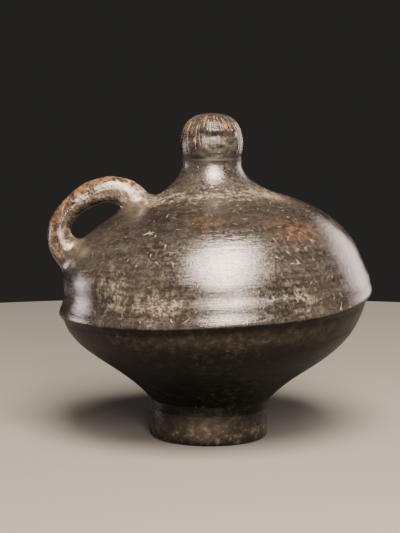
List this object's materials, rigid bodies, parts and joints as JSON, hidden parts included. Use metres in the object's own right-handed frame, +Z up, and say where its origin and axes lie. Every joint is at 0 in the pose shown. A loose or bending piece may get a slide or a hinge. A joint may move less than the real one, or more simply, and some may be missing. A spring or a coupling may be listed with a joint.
{
  "type": "head-topped ceramic jug",
  "caption": "Burnished dark clay jug on a ring foot, with a sharp belly edge, a domed shoulder, a loop handle and a neck that ends in a small human head.",
  "frame": {"origin": "on the ground under the middle of the bounding box, in the plane of the ring foot's sole", "axes": "+Z up, +X away from the handle, -Y the front, where the head looks out"},
  "size_m": [0.2396, 0.2318, 0.24],
  "materials": {
    "burnished_clay": "burnished"
  },
  "bodies": {
    "root": {"vessel": "burnished_clay"}
  },
  "joints": []
}
